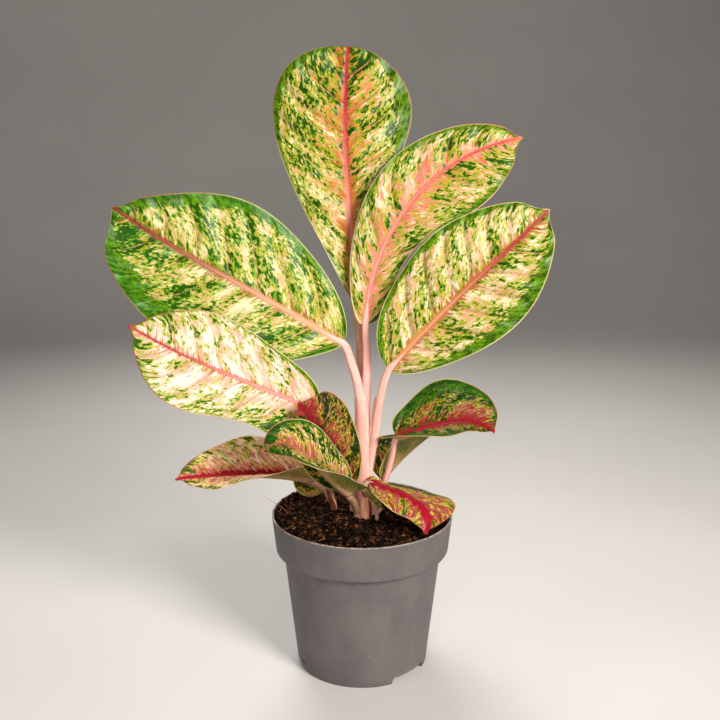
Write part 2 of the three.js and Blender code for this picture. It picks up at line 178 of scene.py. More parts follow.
# ---- node trees ----
class Nodes:
    """Builds one material's node tree."""

    def __init__(self, name):
        self.material = bpy.data.materials.new(name)
        self.material.use_nodes = True
        self.tree = self.material.node_tree

    def put(self, socket, value):
        if isinstance(value, bpy.types.NodeSocket):
            self.tree.links.new(value, socket)
        elif value is not None:
            socket.default_value = value

    def add(self, kind, inputs, output=0, **settings):
        """An output of a new node, whose inputs are given by name, by number or in order."""
        node = self.tree.nodes.new(kind)
        for key, value in settings.items():
            setattr(node, key, value)
        for key, value in inputs.items() if isinstance(inputs, dict) else enumerate(inputs):
            self.put(node.inputs[key], value)
        return node.outputs[output]

    def attribute(self, name):
        """The three components of a vector attribute."""
        return self.separate(self.add("ShaderNodeAttribute", (), "Vector", attribute_name=name))

    def position(self):
        return self.add("ShaderNodeTexCoord", (), "Object")

    def separate(self, vector):
        return self.add("ShaderNodeSeparateXYZ", (vector,), slice(None))

    def combine(self, *axes):
        return self.add("ShaderNodeCombineXYZ", axes)

    def math(self, operation, *values):
        return self.add("ShaderNodeMath", values, operation=operation)

    def plus(self, a, b):
        return self.math("ADD", a, b)

    def minus(self, a, b):
        return self.math("SUBTRACT", a, b)

    def times(self, a, b):
        return self.math("MULTIPLY", a, b)

    def scale_add(self, a, b, c):
        return self.math("MULTIPLY_ADD", a, b, c)

    def stretch(self, axes, *factors):
        """A vector of the three axes, the first ones scaled by the factors."""
        return self.combine(*(self.times(a, f) if f != 1 else a for a, f in zip(axes, (*factors, 1, 1))))

    def ramp(self, value, low, high, to_low=0.0, to_high=1.0, kind="SMOOTHSTEP"):
        return self.add("ShaderNodeMapRange", (value, low, high, to_low, to_high), interpolation_type=kind)

    def noise(self, vector, size, detail=2.0, rough=0.5, bend=0.0):
        inputs = dict(Vector=vector, Scale=1 / size, Detail=detail, Roughness=rough, Distortion=bend)
        return self.add("ShaderNodeTexNoise", inputs)

    def cells(self, vector, size):
        """A random level for each of the cells."""
        return self.add("ShaderNodeTexVoronoi", dict(Vector=vector, Scale=1 / size), "Color")

    def mix(self, factor, a, b, share=1):
        """Colour a, with b over it where the factor is 1, but only by share."""
        if share != 1:
            factor = self.times(factor, share)
        a, b = (linear(c) if isinstance(c, str) else c for c in (a, b))
        return self.add("ShaderNodeMix", {0: factor, 6: a, 7: b}, 2, data_type="RGBA")

    def blend(self, factor, pair):
        """Between two display colours written in one string."""
        return self.mix(factor, *pair.split())

    def bump(self, height, distance, strength=1.0):
        return self.add("ShaderNodeBump", dict(Height=height, Distance=distance, Strength=strength))

    def finish(self, color, roughness, specular, normal=None):
        shader = self.tree.nodes["Principled BSDF"]
        labels = ("Base Color", "Roughness", "Specular IOR Level", "Normal")
        for label, value in zip(labels, (color, roughness, specular, normal), strict=True):
            self.put(shader.inputs[label], value)
        return self.material


# ---- blades ----
# The numbers before strip are the same as in the solids.
# strip: width of the solid green margin at 1/8, 3/8, 5/8 and 7/8 of the length, left and right,
#   or one width for all of it.
# cover and blush: share of speckled green and of red streaks near the midrib, near the margin and added at
#   the tip.
# quilt: how far the leaf swells between its side veins.  cusp: how far it narrows just before the tip.
# flame: how far the colour along the midrib reaches out, in mm more than usual.
# halo: how much narrower the lime rims of the green speckles are.  flecked: how uneven those rims are.
# ribbed: width of the coloured midrib.  grain: how much finer a small leaf's pattern is than a large one's.
LEAVES = {
    "crown": dict(
        rib=[(-5, 16, 244), (-8, 32, 299), (-11, 44, 348), (-9, 50, 405)],
        face=(0.05, -0.96, 0.28), wide=((14, 31, 44, 44), (18, 24, 39, 40)), base=0.72, tip=(0.5, 0.42),
        fold=(28, 12, 5), bow=20, wave=(2.2, 2.3, 0, 0.3),
        strip=((1, 1, 3, 6), (1, 2, 7, 8)), cover=(0.36, 0.52, 0.16), blush=(0.7, 0.16, 0.05), quilt=2.2,
        flame=2.5, ribbed=1.25, cusp=0, look="crown",
    ),
    "upper_right": dict(
        rib=[(2, 6, 231), (18, 14, 289), (54, 24, 329), (103, 32, 348)],
        face=(-0.1, -0.93, 0.35), wide=((13, 25, 27, 14), (14, 22, 33, 24)), base=(0.3, 0.5), tip=0.6,
        fold=(10, 10, 10), bow=15, lobe=(9, 4), wave=(1.8, 2.2, 0.2, 0.5),
        strip=((1, 2, 3, 3), (1, 1, 4, 3)), cover=(0.3, 0.5, 0.12), blush=(0.85, 0.1, -0.1), quilt=1.8,
        ribbed=0.75, look="rosy",
    ),
    "right": dict(
        rib=[(17, -6, 204), (51, -12, 243), (80, -14, 273), (115, -8, 306)],
        face=(-0.15, -0.95, 0.2), wide=((27, 38, 38, 24), (21, 35, 37, 23)), base=0.6, tip=(0.55, 0.6),
        fold=(12, 8, 5), bow=15, lobe=2, wave=(1.8, 2.2, 0.1, 0.4),
        strip=((4, 4, 5, 4), (3, 7, 9, 6)), cover=(0.32, 0.44, 0.14), blush=(0.3, 0.0, 0.1), quilt=2.0,
        look="cream",
    ),
    "left": dict(
        rib=[(-12, -2, 220), (-60, -8, 250), (-107, -12, 278), (-152, -14, 308)],
        face=(0.05, -0.95, 0.3), wide=((24, 48, 49, 33), (26, 45, 46, 23)), base=0.6, tip=0.5,
        fold=(8, 5, 5), lobe=2, wave=(1.8, 2.2, 0.4, 0.1),
        strip=((3, 4, 13, 14), (3, 5, 8, 9)), cover=(0.42, 0.52, 0.14), blush=(0.2, 0.0, 0.2), quilt=2.0,
        look="green",
    ),
    "lower_left": dict(
        rib=[(-28, -9, 177), (-66, -36, 202), (-99, -57, 223), (-132, -74, 247)],
        face=(0, -0.92, 0.4), wide=((26, 24.5, 30, 18.5), (20, 28, 31, 18)), base=0.6, tip=0.6,
        fold=(10, 5, 5), wave=(1.4, 2.2, 0, 0.3),
        strip=((2, 1, 1, 1), (3, 2, 1, 1)), cover=(0.04, 0.44, 0.22), blush=(0.25, 0.12, 0.1), quilt=2.4,
        flame=-2.5, halo=0.014, ribbed=0.6, look="pale",
    ),
    "front_round": dict(
        rib=[(-7, -1, 123), (-18, -12, 148), (-28, -24, 170), (-39, -37, 190)],
        face=(0.36, -0.93, -0.1), wide=((15, 21, 19, 12), (13, 20, 23, 20)), base=0.5, tip=(0.5, 0.35),
        fold=(8, 5, 5), wave=(1, 2.2, 0.1, 0.6),
        strip=1, cover=(0.26, 0.72, 0.0), blush=(1.4, 0.8, 0.4), quilt=0.7, flame=2, halo=0.02, flecked=1,
        ribbed=0.8, grain=1.1, look="red",
    ),
    "low_left": dict(
        rib=[(-32, 4, 125), (-62, -6, 133), (-92, -15, 136), (-119, -24, 137)],
        face=(0, -0.4, 0.9), wide=((20, 25, 27, 15), (16, 27, 25, 11)), base=0.6, tip=0.6, fold=(80, 40, 20),
        foldRight=(45, 25, 15), wave=(1.3, 2.2, 0, 0.3),
        strip=0, cover=(-0.1, 0.4, 0.35), blush=(0.8, 0.4, 0), quilt=1.0, flame=1, halo=-0.005, flecked=1,
        ribbed=1.9, grain=1.1, look="flesh",
    ),
    "front": dict(
        rib=[(-8, -14, 122), (-24, -34, 145), (-42, -55, 169), (-59, -74, 171)],
        face=[(0.6, 0, 0.77), (0.3, -0.35, 0.85), (0, -0.5, 0.8)], wide=((17, 20, 20, 11), (14, 20, 19, 7)),
        base=(0.35, 0.5), tip=0.6, fold=(75, 30, -15), foldRight=(62, 46, 8), lobe=(8, 0),
        wave=(0.8, 2.2, 0.4, 0),
        strip=((2, 2, 4, 12), (2, 2, 4, 12)), cover=(0.3, 0.7, 0.45), blush=(0.8, 0.5, -0.3), quilt=0.6,
        flecked=1, ribbed=0.3, grain=1.2, look="front",
    ),
    "low_right": dict(
        rib=[(22, 2, 156), (43, -2, 164), (65, -7, 170), (85, -14, 165)],
        face=(0, -0.4, 0.9), wide=((16, 28, 31, 17), (12, 19, 20, 12)), base=0.3, tip=0.45,
        fold=(32, 30, 15), foldRight=(75, 25, 25), lobe=(18, 50), wave=(1.2, 2.2, 0.2, 0.5),
        strip=((6, 11, 9, 4), (2, 4, 3, 1)), cover=(0.34, 0.95, 0.1), blush=(1.2, 0.6, 0.2), quilt=0.7,
        flame=2.5, halo=0.01, flecked=1, ribbed=1.1, grain=1.35, look="wine",
    ),
    "back_right": dict(
        rib=[(13, 12, 123), (23, 20, 132), (34, 30, 139), (51, 40, 149)],
        face=(-0.7, -0.3, 0.65), wide=((18, 24, 20, 10), (12, 15, 13, 7)), base=0.5, tip=0.65,
        fold=(50, 45, 35), foldRight=(70, 70, 60), wave=(0.8, 2.2, 0.2, 0.5),
        strip=1, cover=(0.45, 0.7, 0.1), blush=(0.8, 0.5, 0), quilt=0.6, grain=1.35, look="red",
    ),
    "front_right": dict(
        rib=[(4.5, -6, 129), (19, -12, 126.5), (37, -26, 120), (39, -40, 106)],
        face=[(0.2, -0.25, 0.95), (0.15, -0.3, 0.95), (0, -0.6, 0.8)],
        wide=((10, 20, 31, 10), (8, 17, 17, 11)), base=0.5, tip=(0.85, 0.6), fold=(-10, -20, 20),
        foldRight=(0, 0, 10), wave=(0.8, 2.2, 0.2, 0.5),
        strip=0, cover=(0.1, 0.42, 0.05), blush=(1.2, 0.95, 0), quilt=0.7, halo=0.01, flecked=1.2, ribbed=2,
        grain=1.01, look="ember",
    ),
    "back_left": dict(
        rib=[(-22, 16, 115), (-27, 20, 126), (-32, 25, 136), (-36, 30, 147)],
        face=(0.1, -0.85, 0.5), wide=((19, 22, 16, 8), (14, 18, 14, 8)), base=0.3, tip=0.6,
        fold=(20, 15, 10), lobe=(5, 4), wave=(1, 2.2, 0.1, 0.6),
        strip=1, cover=(0.5, 0.72, 0), blush=(0.7, 0.1, 0), quilt=0.6, grain=1.35, look="red",
    ),
}

# Display colours, most in pairs: the ground, the speckles' lime halos and green patches, the red blush, the
# flame along the midrib, the midrib from base to tip and the painted highlight along its centre, the thin
# edge (partly its own colour, partly a painted rim highlight), and the underside.
UNDER = "a4944c 868c38"
LOOKS = {
    "crown": dict(
        ground="f2dab0 d89e72", halo="92a202 beba28", patch="1c4402 5c8806", blush="dc6438 de8c58",
        flame="d46a34 b67c2c", rib="cf7850 a81830", rib_highlight="e8a088", edge="e2cb90 c8744a",
    ),
    "rosy": dict(
        ground="f6d8b6 da9474", halo="98a404 c0b62c", patch="244c02 66900a", blush="e05c4a e68e78",
        flame="e47c60 e4967a", rib="d47c6a c84440", rib_highlight="f4b4a4", edge="e8cf9e d48a60",
    ),
    "cream": dict(
        ground="f4d6b8 d89c78", halo="92a002 beb62a", patch="204800 5a8a08", blush="c45c3a d08c60",
        flame="ac5c2a 9a6e26", rib="cc8450 9c2630", rib_highlight="ecb48c", edge="e8d094 deb47a",
    ),
    "green": dict(
        ground="eed4a4 d8a67a", halo="8ea002 bcbc2a", patch="225200 4e8c0a", blush="a83c22 bc6c40",
        flame="b0682c 6a7414", rib="da946a 7c2420", rib_highlight="f0bc98", edge="d8c88c b06044",
    ),
    "pale": dict(
        ground="f8dccf deac94", halo="9ca60c cec850", patch="285200 5c8a08", blush="cc6458 e0948a",
        flame="b05834 cc8058", rib="dc8274 a01c30", rib_highlight="f6b8ac", edge="e4ca98 a02830",
    ),
    "red": dict(
        ground="de9878 9c443a", halo="968e06 d4c038", patch="0c2800 264406", blush="720c1a a83c3a",
        flame="780a1a 982628", rib="94202c 8a0a1c", rib_highlight="b43a40", edge="d6b872 bc3a34",
        under="b49c50 98883c",
    ),
    "flesh": dict(
        ground="ffe8d2 fab89c", halo="b0a818 e8d658", patch="3c5002 76800c", blush="981824 ee9c88",
        flame="a4202a dc7c62", rib="8c0e1c a41024", rib_highlight="a81c2c", edge="f0cca8 b42c34",
        under="b0925c 94803c",
    ),
    "ember": dict(
        ground="e4ac96 b85a50", halo="aca816 d8c848", patch="34520a 64800e", blush="821422 a8443e",
        flame="8e1222 a02c30", rib="8a0a1c a40c26", rib_highlight="b82838", edge="dcb88c b42c34",
        under="a08a50 84783c",
    ),
    "front": dict(
        ground="ffdcc0 dc9478", halo="a4a810 dccc50", patch="0e3402 246010", blush="861c22 c06450",
        flame="8c2426 b85c4a", rib="cc9c74 a85a44", rib_highlight="e8b494", edge="dccc9c b84a44",
        under="98884a 747c34",
    ),
}
LOOKS["wine"] = LOOKS["red"] | dict(
    ground="c88070 943a38", halo="7c9208 c0bc30", patch="103402 30600a", blush="700c1a a03c3c",
)

CAD_BOX = np.array([list(corner) for corner in cad_box]) / MM
BLADE_THICK = 0.5
EDGE_THICK = 0.12
MIDRIB_DEEP = (2.6, 0.9)
MIDRIB_HALF = (2.3, 0.8)
BASE_HALF = 2.2
TIP_HALF = 0.5
CUSP = 0.7
BOW = 10
RIB_STATIONS = (0, 1 / 3, 2 / 3, 1)
WIDTH_STATIONS = (1 / 8, 3 / 8, 5 / 8, 7 / 8)
FACE_STATIONS = (0, 0.5, 1)
ROW_STEP = 0.9
SWELL_SIZE, LUMP_SIZE, BUMP_SIZE, EDGE_WAVE_SIZE = 26, 14, 4, 9
SIDE_VEINS = 7.5
VEIN_SLOPE = 0.65
VEIN_CURL = 0.05
VEIN_SINK = 0.3
QUILT_GAIN = 1.55
QUILT_LEVEL = 0.6


def half_width(leaf, side, u):
    base, tip = both(leaf["base"])[side], both(leaf["tip"])[side]
    envelope = lambda v: v**base * (1 - v) ** tip
    scale = [w / envelope(s) for w, s in zip(leaf["wide"][side], WIDTH_STATIONS, strict=True)]
    return envelope(u) * np.maximum(through(WIDTH_STATIONS, scale, u), 0)


def blade_frame(leaf, u):
    """Midrib point, direction, upward side and right side of the blade at each u."""
    centre = through(RIB_STATIONS, leaf["rib"], u)
    along = unit(through(RIB_STATIONS, leaf["rib"], u, slope=True))
    faces = leaf["face"] if isinstance(leaf["face"], list) else [leaf["face"]] * 3
    up = through(FACE_STATIONS, faces, u)
    up = unit(up - (up * along).sum(1, keepdims=True) * along)
    return centre, along, up, np.cross(along, up)


def blade_sheet(leaf, u, t):
    """Points of the upper side at each u along and t across, how far out they are, and the half widths."""
    centre, along, up, right = (a[:, None] for a in blade_frame(leaf, u))
    points = np.zeros((len(u), len(t), 3))
    outs, halves = np.zeros((2, len(u), len(t)))
    for side, chosen in ((0, t < 0), (1, t >= 0)):
        share = np.abs(t[chosen])[None]
        half = half_width(leaf, side, u) * (1 - leaf.get("cusp", CUSP) * smoothstep(0.93, 0.995, u))
        half = np.maximum(half, mix(BASE_HALF, TIP_HALF, u))[:, None]
        out = share * half
        widest = max(leaf["wide"][side])
        folds = leaf.get("foldRight", leaf["fold"]) if side else leaf["fold"]
        fold = np.radians(through(FACE_STATIONS, folds, u))[:, None]
        bow = math.radians(leaf.get("bow", BOW)) / widest
        across = (np.sin(fold) - np.sin(fold - bow * out)) / bow
        height, count = leaf["wave"][:2]
        turn = np.sin(2 * np.pi * (count * u + leaf["wave"][2 + side]))
        fade = np.sqrt(np.minimum(4 * u * (1 - u), 1))
        rise = (np.cos(fold - bow * out) - np.cos(fold)) / bow
        rise = rise + height * share**1.6 * (turn * fade)[:, None]
        back = both(leaf.get("lobe", 0))[side] * (out / widest) ** 1.5 * (1 - u)[:, None] ** 4
        sign = 1 if side else -1
        points[:, chosen] = (
            centre + right * (sign * across)[..., None] + up * rise[..., None] - along * back[..., None]
        )
        outs[:, chosen] = out
        halves[:, chosen] = half
    return points, outs, halves


def sheet_normals(points):
    normals = np.cross(np.gradient(points, axis=1), np.gradient(points, axis=0))
    length = np.linalg.norm(normals, axis=-1, keepdims=True)
    return normals / np.maximum(length, 1e-9)


def blade_relief(leaf, seed, points, u, share, out, vein, vein_mm):
    """How far each point stands off the plain sheet."""
    inner = smoothstep(1, 7, out) * smoothstep(0, 0.22, 1 - share) * smoothstep(0, 0.1, u * (1 - u) * 4)
    swell = np.abs(np.sin(np.pi * vein)) ** 0.55 * (0.75 + 0.7 * wobble(points, SWELL_SIZE, seed + 3))
    relief = QUILT_GAIN * leaf["quilt"] * inner * (swell - QUILT_LEVEL - VEIN_SINK * bell(vein_mm, 1.9))
    rib_half = mix(*MIDRIB_HALF, u)
    relief += 0.3 * bell(out, 0.7 * rib_half) - 0.7 * bell(out, 2 * rib_half)
    lumps = 0.35 * wobble(points, LUMP_SIZE, seed + 5) + 0.1 * wobble(points, BUMP_SIZE, seed + 6)
    relief += lumps * smoothstep(0, 4, out)
    return relief + 0.35 * smoothstep(0.75, 1, share) * wobble(points, EDGE_WAVE_SIZE, seed + 8)


def blade_piece(name, leaf, seed):
    length = np.linalg.norm(np.diff(np.array(leaf["rib"], float), axis=0), axis=1).sum()
    even = np.linspace(0, 1, int(length / ROW_STEP) + 1)
    rows = mix(even, (1 - np.cos(np.pi * even)) / 2, 0.5)
    steps = np.linspace(0, 1, int(max(map(max, leaf["wide"])) * 0.75) + 13) ** 1.3
    columns = np.concatenate([-steps[:0:-1], steps])
    points, out, half = blade_sheet(leaf, rows, columns)
    u, share = (np.broadcast_to(a, out.shape) for a in (rows[:, None], np.abs(columns)))
    side = np.broadcast_to(columns >= 0, out.shape)
    margin = half - out

    # The nearest side vein, how far off it is, and where it leaves the midrib.
    root = u * length - VEIN_SLOPE * out - VEIN_CURL * length * share**3
    vein = SIDE_VEINS * root / length + 0.25 * side + wobble(points, 40, seed) * 0.12
    vein_mm = np.abs(vein - np.round(vein)) * length / SIDE_VEINS

    normals = sheet_normals(points)
    top = points + normals * blade_relief(leaf, seed, points, u, share, out, vein, vein_mm)[..., None]
    keel = mix(*MIDRIB_DEEP, u) * smoothstep(-0.03, 0.06, u)
    keel = keel * np.sqrt(np.clip(1 - (out / (1.25 * mix(*MIDRIB_HALF, u))) ** 2, 0, 1))
    thick = np.maximum(BLADE_THICK * smoothstep(-0.25, 1, margin / 1.2), keel)
    under = top - normals * np.maximum(thick, EDGE_THICK)[..., None]

    # Colour fields.
    left, right = (through(WIDTH_STATIONS, np.broadcast_to(w, 4), rows)[:, None] for w in both(leaf["strip"]))
    strip = np.maximum(np.where(side, right, left), 0)
    outer, tipward = smoothstep(0.15, 0.95, share), smoothstep(0.6, 1, u)
    shares = (leaf["cover"], leaf["blush"])
    cover, blush = (mix(near, far, outer) + added * tipward for near, far, added in shares)
    grain = leaf.get("grain", 1)
    fields = {
        "flow": (1.2 * grain * out, root * grain, seed * 50 + 25 * side),
        "place": (u, margin, out),
        "field": (strip, cover, blush),
        "veining": (vein_mm, share, 0),
    }
    vectors = [
        (label, np.tile(np.stack([np.broadcast_to(a, out.shape) for a in own], -1).reshape(-1, 3), (2, 1)))
        for label, own in fields.items()
    ]

    count = out.size
    index = np.arange(count).reshape(out.shape)
    quads = grid_quads(index)
    edge = np.concatenate([index[0, :], index[1:, -1], index[-1, -2::-1], index[-2:0:-1, 0]])
    following = np.roll(edge, -1)
    rim = np.stack([following, edge, edge + count, following + count], -1)
    make_piece(
        "blade_" + name,
        np.clip(np.concatenate([top.reshape(-1, 3), under.reshape(-1, 3)]), *CAD_BOX),
        np.concatenate([quads, quads[:, ::-1] + count, rim]).tolist(),
        [leaf_top(name, leaf), leaf_under(name, leaf)],
        "leaf",
        ["leaf_" + name],
        vectors,
        np.repeat([0, 1, 0], [len(quads), len(quads), len(rim)]),
    )


def leaf_pattern(n, leaf):
    """Masks for both sides of a leaf. p runs out from the midrib, q from one side vein to the next."""
    flow = p, q, seed = n.attribute("flow")
    u, margin, out = n.attribute("place")
    strip, cover, blush = n.attribute("field")
    x = n.times(p, n.scale_add(p, 0.008, 0.56))
    spot = n.combine(x, q, seed)
    other = n.combine(n.plus(x, 300), q, seed)
    big = n.noise(spot, 17, 1)
    mid = n.noise(spot, 4.2, 3, 0.6, 0.5)
    small = n.noise(other, 1.4, 2, 0.6, 0.4)

    # Green speckles: their level is above 0 where the leaf is green, and just below it in their lime halos.
    feather = n.noise(n.stretch(flow, 0.35), 9, 2, 0.5, 0.6)
    cover = n.plus(cover, n.scale_add(feather, 1.3, -0.65))
    cover = n.plus(cover, n.scale_add(big, 1.1, -0.55))
    patchy = n.noise(other, 2.5, 2, 0.6, 0.6)
    level = n.scale_add(mid, 0.42, n.scale_add(patchy, 0.36, n.times(small, 0.22)))
    level = n.scale_add(n.cells(spot, 1.7), 0.13, level)
    level = n.minus(level, n.ramp(cover, 0, 1, 0.685, 0.465, "LINEAR"))
    fleck = n.scale_add(n.noise(n.combine(n.plus(x, 700), q, seed), 2.2, 2, 0.6), 0.5, -0.25)
    flecked = n.scale_add(fleck, leaf.get("flecked", 0.4), level)
    halo_from = leaf.get("halo", 0) - 0.082

    # The solid green margin, with lime specks on its inner side.
    ragged = n.times(strip, n.scale_add(n.noise(spot, 7, 2, 0.6), 1.6, 0.2))
    ragged = n.scale_add(small, 5.0, n.minus(ragged, 2.5))
    band = n.ramp(n.minus(ragged, margin), -0.3, 0.5)
    specks = n.times(n.ramp(small, 0.56, 0.63), n.ramp(n.math("DIVIDE", margin, strip), 0.2, 0.7))

    # Red streaks along the side veins, and the ragged flame along the midrib.
    streaks = n.stretch(flow, 0.12, 0.36)
    red_cut = n.ramp(blush, 0, 1, 0.72, 0.32, "LINEAR")
    red = n.ramp(n.minus(n.noise(streaks, 1, 3, 0.65, 0.4), red_cut), -0.03, 0.06)
    teeth = n.combine(n.times(p, 0.07), n.times(q, 0.42), n.plus(seed, 9))
    reach = n.scale_add(n.noise(teeth, 1, 2, 0.6), 24, leaf.get("flame", 0) - 8.5)
    return SimpleNamespace(
        u=u, margin=margin, out=out, q=q, flow=flow, spot=spot, streaks=streaks, big=big, mid=mid,
        small=small, fine=n.noise(spot, 0.8, 1, 0.5), halo=n.ramp(flecked, halo_from, halo_from + 0.032),
        patch=n.ramp(level, -0.002, 0.014), dark=n.ramp(level, 0.03, 0.05), red=red, specks=specks,
        band=n.times(band, n.ramp(strip, 0.1, 1)), flame=n.ramp(n.minus(reach, out), -0.5, 1.4),
    )


def rib_width(n, u, share):
    """Half the midrib's width at each u, times share."""
    return n.ramp(u, 0, 1, share * MIDRIB_HALF[0], share * MIDRIB_HALF[1], "LINEAR")


def leaf_top(name, leaf):
    n = Nodes(f"leaf_{name}_upper")
    f = leaf_pattern(n, leaf)
    look = LOOKS[leaf["look"]]
    olive, lime, deep, green = (look["halo"] + " " + look["patch"]).split()
    side_vein, share = n.attribute("veining")[:2]
    color = n.blend(n.ramp(n.noise(f.spot, 9, 2, 0.6), 0.35, 0.65), look["ground"])
    lace = n.ramp(n.scale_add(f.fine, 0.5, n.times(f.mid, 0.6)), 0.5, 0.62)
    color = n.mix(lace, color, lime, 0.12)
    blush = n.blend(n.ramp(n.noise(f.streaks, 0.6, 3, 0.6), 0.4, 0.6), look["blush"])
    color = n.mix(f.red, color, blush, 0.9)
    color = n.mix(f.halo, color, n.mix(n.ramp(f.fine, 0.32, 0.56), lime, olive), 0.85)
    color = n.mix(f.flame, color, n.blend(n.ramp(f.fine, 0.4, 0.6), look["flame"]), 0.9)
    color = n.mix(f.patch, color, green)
    color = n.mix(f.dark, color, deep)
    band = n.mix(n.ramp(n.noise(f.spot, 4, 3, 0.7), 0.38, 0.62), deep, green)
    color = n.mix(f.band, color, n.mix(f.specks, band, olive, 0.8))

    # Side veins, which fade into the ground, the midrib with a painted highlight along its centre, and the
    # thin edge, partly its own colour and partly a painted rim highlight.
    rib_color = n.blend(n.ramp(f.u, 0.15, 0.8), look["rib"])
    vein_color = n.mix(n.ramp(f.out, 3, 13), rib_color, look["ground"].split()[0 if "grain" in leaf else 1])
    vein = n.times(n.ramp(side_vein, 0.9, 0.25), n.ramp(share, 0.95, 0.2))
    color = n.mix(vein, color, vein_color, 0.75)
    uneven = n.ramp(n.noise(n.stretch(f.flow, 0.6, 0.3), 2.4, 3, 0.6), 0.45, 0.7)
    rib_tone = n.mix(uneven, rib_color, look["flame"].split()[0], 0.55)
    # A painted highlight along the midrib's raised centre, fading towards the tip.
    rib_highlight = n.times(n.ramp(f.out, 1.1, 0.3), n.ramp(f.u, 0.9, 0.2))
    rib_tone = n.mix(rib_highlight, rib_tone, look["rib_highlight"], 0.45)
    fringe = n.scale_add(n.noise(n.stretch(f.flow, 0.12), 2, 3, 0.65), 3.0, -0.5)
    rib_half = n.times(rib_width(n, f.u, leaf.get("ribbed", 1)), fringe)
    color = n.mix(n.ramp(n.minus(f.out, rib_half), 0.7, -0.5), color, rib_tone)
    # The thin edge: its own colour, made paler in part as a painted rim highlight.
    edge_and_rim_light = n.blend(n.ramp(f.u, 0.5, 0.95), look["edge"])
    color = n.mix(n.ramp(f.margin, 0.9, 0.35), color, edge_and_rim_light, 0.85)

    fine_veins = n.math("SINE", n.scale_add(f.q, 3.4 / leaf.get("grain", 1), n.times(f.mid, 9)))
    height = n.scale_add(fine_veins, 0.05, n.times(f.fine, 0.35))
    height = n.plus(height, n.times(n.noise(f.spot, 3, 3, 0.6), 0.8))
    return n.finish(color, n.scale_add(f.small, 0.16, 0.28), 0.25, n.bump(height, 0.00035, 0.5))


def leaf_under(name, leaf):
    n = Nodes(f"leaf_{name}_under")
    f = leaf_pattern(n, leaf)
    look = LOOKS[leaf["look"]]
    color = n.blend(n.ramp(f.big, 0.3, 0.7), look.get("under", UNDER))
    color = n.mix(f.red, color, "9c6a48", 0.35)
    color = n.mix(f.halo, color, "8c9036", 0.4)
    color = n.mix(f.patch, color, "4d6420", 0.7)
    color = n.mix(f.band, color, "52702a", 0.7)
    rib = n.ramp(n.minus(f.out, rib_width(n, f.u, 1.2)), 1.6, -1)
    color = n.mix(rib, color, n.mix(n.ramp(f.u, 0, 0.5), "bc8a6a", "a08048"), 0.8)
    # The thin edge: its own colour, made paler in part as a painted rim highlight.
    edge_and_rim_light = n.blend(n.ramp(f.u, 0.5, 0.95), look["edge"])
    color = n.mix(n.ramp(f.margin, 0.9, 0.3), color, edge_and_rim_light, 0.8)
    height = n.math("SINE", n.times(f.q, 4.2 / leaf.get("grain", 1)))
    return n.finish(color, 0.5, 0.35, n.bump(height, 0.00005, 0.6))


for leaf_seed, leaf_name in enumerate(LEAVES, 1):
    blade_piece(leaf_name, LEAVES[leaf_name], leaf_seed)


# ---- stems ----
# Points from foot to top, radius at foot and top, and tone. A stalk with a leaf's name carries it.
PINK, DULL, OLIVE, DRY = range(4)
STALKS = {
    "cane": ([(1, 9, 105), (1.2, 8, 130), (0.6, 7, 157), (-0.4, 7, 183)], 7, 4.6, PINK),
    "left": (
        [(0.2, 6.6, 150), (-0.6, 6, 176), (-3.8, 4.4, 195), (-7, 2.6, 206), (-11, -0.8, 218.6)],
        3.7, 2.4, PINK,
    ),
    "upper_right": (
        [(1, 7.4, 150), (2.4, 8, 176), (3, 8, 200), (2.9, 7.6, 215), (2.1, 7.1, 230.2)], 3.3, 2.2, PINK,
    ),
    "crown": ([(0, 8.6, 148), (-1, 11, 172), (-1, 15, 197), (-2, 16.6, 220), (-5, 17, 242.9)], 3, 2, 0.8),
    "right": (
        [(3.4, 7.6, 110), (4.6, 6, 134), (8.4, 3, 157), (11, 0, 179), (16.3, -4.7, 202.8)], 3.2, 2.3, PINK,
    ),
    "lower_left": (
        [(0, 7.4, 118), (-1, 6, 138), (-6, 4, 150), (-14, -0.4, 163), (-27.6, -7.4, 176)], 3.2, 2.2, 0.1,
    ),
    "front_round": ([(-5.5, 7, 105), (-6.4, 5, 114), (-6.9, 0.6, 121.6)], 2.8, 2.2, 0.4),
    "front": ([(-3, -2.2, 105), (-4, -5, 110), (-7, -12, 119)], 2.8, 2.6, DULL),
    "front_right": (
        [(8.4, -0.6, 105), (7.6, -2.2, 112), (4.6, -4.6, 119), (1.4, -6, 124.4), (1.8, -6, 126.4)],
        3.4, 1.6, 0.5,
    ),
    "low_right": ([(9.6, 8, 105), (14.6, 8.4, 121), (20, 4.4, 143), (21.3, 3.5, 153.1)], 2.3, 1.7, 0.05),
    "back_right": ([(7.6, 13, 105), (9.4, 13.2, 113), (12.2, 12.6, 121.4)], 2.4, 2, 0.4),
    "bud": ([(10, -4, 105), (11, -5, 107), (12.6, -6.6, 109.6)], 1.5, 1.1, 0.2),
}
LEFT_STALKS = {
    "low_left": ([(-19, 9, 105), (-22, 8, 112), (-25, 6.6, 119), (-31.2, 4.8, 123.4)], 2.3, 1.8, 0.6),
    "back_left": ([(-19.4, 13, 105), (-20.4, 14.6, 109), (-21.8, 16, 113.4)], 2.4, 1.9, 0.9),
}
GROUND_Z = 105
FOOT_DEPTH = 7
STALK_SIDES = 28
STALK_STEP = 1.2
STUB_AT = (2.6, -3.2, 0)
STUB_FOOT_Z, STUB_HOLLOW_Z, STUB_TOP_Z = 99, 110, 118.3
STUB_WALL = 0.7


